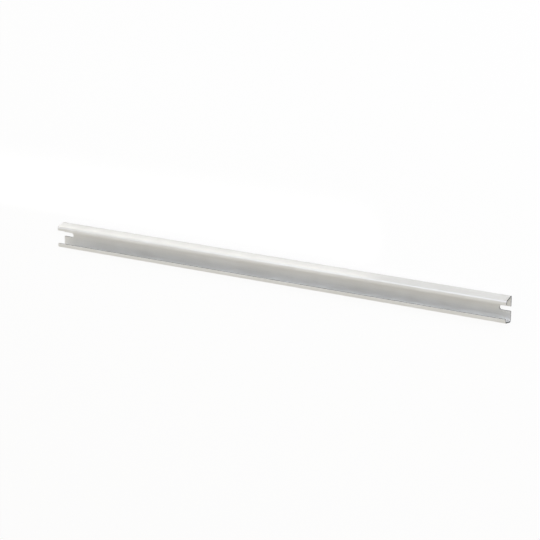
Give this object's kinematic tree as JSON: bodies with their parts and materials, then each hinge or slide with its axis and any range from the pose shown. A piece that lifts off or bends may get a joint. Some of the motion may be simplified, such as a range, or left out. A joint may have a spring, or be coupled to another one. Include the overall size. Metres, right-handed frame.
{
  "type": "c-profile rail",
  "caption": "Roll-formed steel C-profile rail with flanges that lean in towards narrow lips, an open mouth along its front and an open-ended screw slot in each end of its web.",
  "frame": {"origin": "on the back of the web, halfway along the rail and halfway across it", "axes": "+X along the rail, +Y across the web, +Z from the web out of the mouth; the rail lies on its web with the mouth up"},
  "size_m": [0.575, 0.03, 0.015],
  "materials": {
    "zinc_plated_steel": "satin zinc plating on cold-rolled steel strip, with fine rolling lines along the rail and darker cut ends"
  },
  "bodies": {
    "root": {"c_rail": "zinc_plated_steel"}
  },
  "joints": []
}
